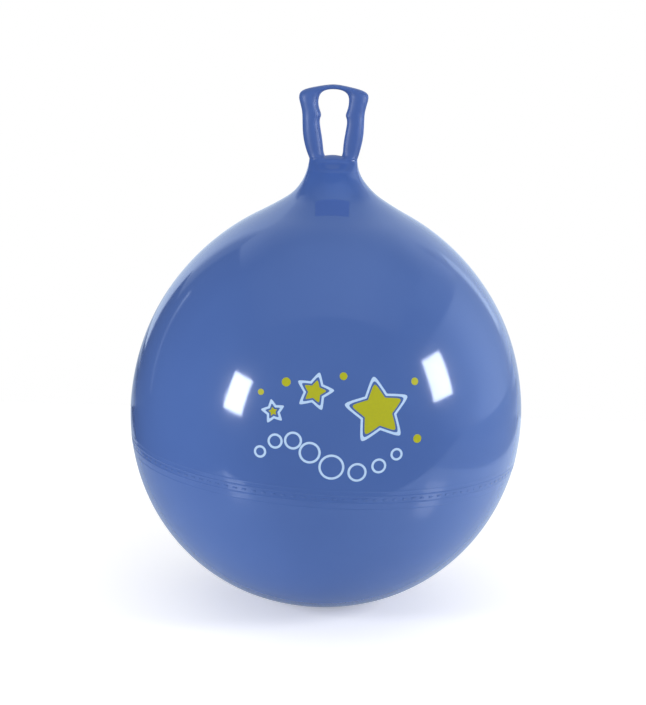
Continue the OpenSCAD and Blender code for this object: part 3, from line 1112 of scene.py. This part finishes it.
reflector = screen_material("silver_reflector", 1, X=[(2.6, 0.9), (2.9, 1.9), (3.2, 1.9), (3.5, 0.9)])

# %% Put up the sheets
REACH = 4
BACK = 4.4
BOARD_FRONT = -0.64
BOARD_RIGHT = 1.9
BOARD_BACK = 1.3
SWEEP_BACK = 2.5
SCREEN_LEFT = -2.8
SCREEN_HEIGHT = 5
SIDE_FRONT = -1.8
SIDE_HEIGHT = 3.1
BOARD_GAP = 0.2 * MM
REFLECTOR_GAP = 0.1
STAND_PLACE = 2.35
STAND_LEAN = -23

on_floor = Matrix.Translation((0, 0, -BOARD_GAP))
overhead = Matrix.Translation((0, 0, SCREEN_HEIGHT))
upright = Matrix.Rotation(radians(90), 4, "X")
behind = Matrix.Translation((0, BACK, 0)) @ upright
before_screen = Matrix.Translation((0, BACK - REFLECTOR_GAP, 0)) @ upright
facing_left = Matrix.Rotation(radians(90), 4, "Z") @ upright
on_right = Matrix.Translation((REACH, 0, 0)) @ facing_left
leaning = Matrix.Rotation(radians(STAND_LEAN), 4, "X") @ facing_left
on_left = Matrix.Translation((-REACH, STAND_PLACE, 0)) @ leaning
stage_sheet("floor_board", (-0.78, BOARD_FRONT), (BOARD_RIGHT, BOARD_BACK), on_floor, board)
stage_sheet("floor_beside", (BOARD_RIGHT, BOARD_FRONT), (REACH, BOARD_BACK), on_floor, floor_paint)
stage_sheet("floor_sweep", (-2, BOARD_BACK), (REACH, SWEEP_BACK), on_floor, sweep)
stage_sheet("floor_sweep_far", (-2.4, SWEEP_BACK), (REACH, BACK), on_floor, far_sweep)
stage_sheet("screen_behind", (SCREEN_LEFT, 0), (REACH, SCREEN_HEIGHT), behind, cloth)
stage_sheet("screen_high_on_left", (-REACH, 1.7), (SCREEN_LEFT, SCREEN_HEIGHT), behind, cloth)
stage_sheet("light_stand", (-0.12, 0), (0.12, 2.6), on_left, stand_paint)
stage_sheet("screen_on_right", (SIDE_FRONT, 0), (BACK, SIDE_HEIGHT), on_right, side_cloth)
stage_sheet("wall_on_right", (SIDE_FRONT, SIDE_HEIGHT), (BACK, SCREEN_HEIGHT), on_right, wall_paint)
stage_sheet("ceiling", (-REACH, -3), (REACH, BACK), overhead, plaster)
stage_sheet("reflector", (2.6, 0.7), (3.5, 2.8), before_screen, reflector)

# %% [markdown]
# Two softboxes light the ball. Each hangs on a line from the ball's centre, looks back
# along it and is turned a little about it, as its window on the skin is. The world is
# white to the camera, dull in the ball's mirror and a soft fill for everything else.

# %% The lamps and the world
LAMP_DISTANCE = 2.2
SEEN_WHITE = 1
MIRRORED_ROOM = 0.04
ROOM_FILL = 0.5


def softbox(name, way, turn, width, height, power):
    """A rectangular lamp that looks at the ball from one way, turned about its own axis."""
    light = bpy.data.lights.new(name, "AREA")
    light.shape = "RECTANGLE"
    light.size = width
    light.size_y = height
    light.energy = power
    lamp = bpy.data.objects.new(name, light)
    way = Vector(way).normalized()
    lamp.location = ball_centre + way * LAMP_DISTANCE
    lamp.rotation_mode = "QUATERNION"
    lamp.rotation_quaternion = way.to_track_quat("Z", "Y") @ Quaternion((0, 0, 1), radians(turn))
    bpy.context.scene.collection.objects.link(lamp)
    return lamp


left_way = (-0.746, -0.626, 0.224)
right_way = (0.870, -0.375, 0.317)
softboxes = [
    softbox("softbox_left", left_way, turn=-9, width=0.445, height=0.61, power=22.5),
    softbox("softbox_right", right_way, turn=3.5, width=0.515, height=0.695, power=24),
]

world = bpy.data.worlds.new("studio_room")
bpy.context.scene.world = world
world.use_nodes = True
tree = world.node_tree
tree.nodes.clear()
shaders = [
    add_node(tree, "ShaderNodeBackground", {"Color": colour("#ffffff"), "Strength": strength})
    for strength in (SEEN_WHITE, MIRRORED_ROOM, ROOM_FILL)
]
room = seen_by_rays(tree, *shaders)
add_node(tree, "ShaderNodeOutputWorld", {"Surface": room})
bpy.context.scene.view_settings.view_transform = "Standard"
for lamp in softboxes:
    print(lamp.name, "hangs at", tuple(round(value, 2) for value in lamp.location))

# %% [markdown]
# The camera stands a little over three metres away and looks a little down. Its place,
# lens and small shift were fitted to the outline of the ball in the photograph, and it is
# rolled by less than two degrees, because the handle leans to the right there.

# %% The camera
CAMERA_DISTANCE = 3.2
CAMERA_ELEVATION = 12
CAMERA_ROLL = 1.8
LOOK_AT = Vector((0, 0, 0.44))
LENS = 96.9
SENSOR_WIDTH = 36
SHIFT_ACROSS = -0.0070
SHIFT_UP = -0.0092

camera_data = bpy.data.cameras.new("camera")
camera_data.lens = LENS
camera_data.sensor_width = SENSOR_WIDTH
camera_data.shift_x = SHIFT_ACROSS
camera_data.shift_y = SHIFT_UP
camera = bpy.data.objects.new("camera", camera_data)
bpy.context.scene.collection.objects.link(camera)
back = Vector((0, -cos(radians(CAMERA_ELEVATION)), sin(radians(CAMERA_ELEVATION))))
camera.location = LOOK_AT + back * CAMERA_DISTANCE
aim = (-back).to_track_quat("-Z", "Y").to_matrix().to_4x4()
roll = Matrix.Rotation(radians(CAMERA_ROLL), 4, "Z")
camera.rotation_euler = (aim @ roll).to_euler()
bpy.context.scene.camera = camera
print("the camera stands at", tuple(round(value, 2) for value in camera.location))
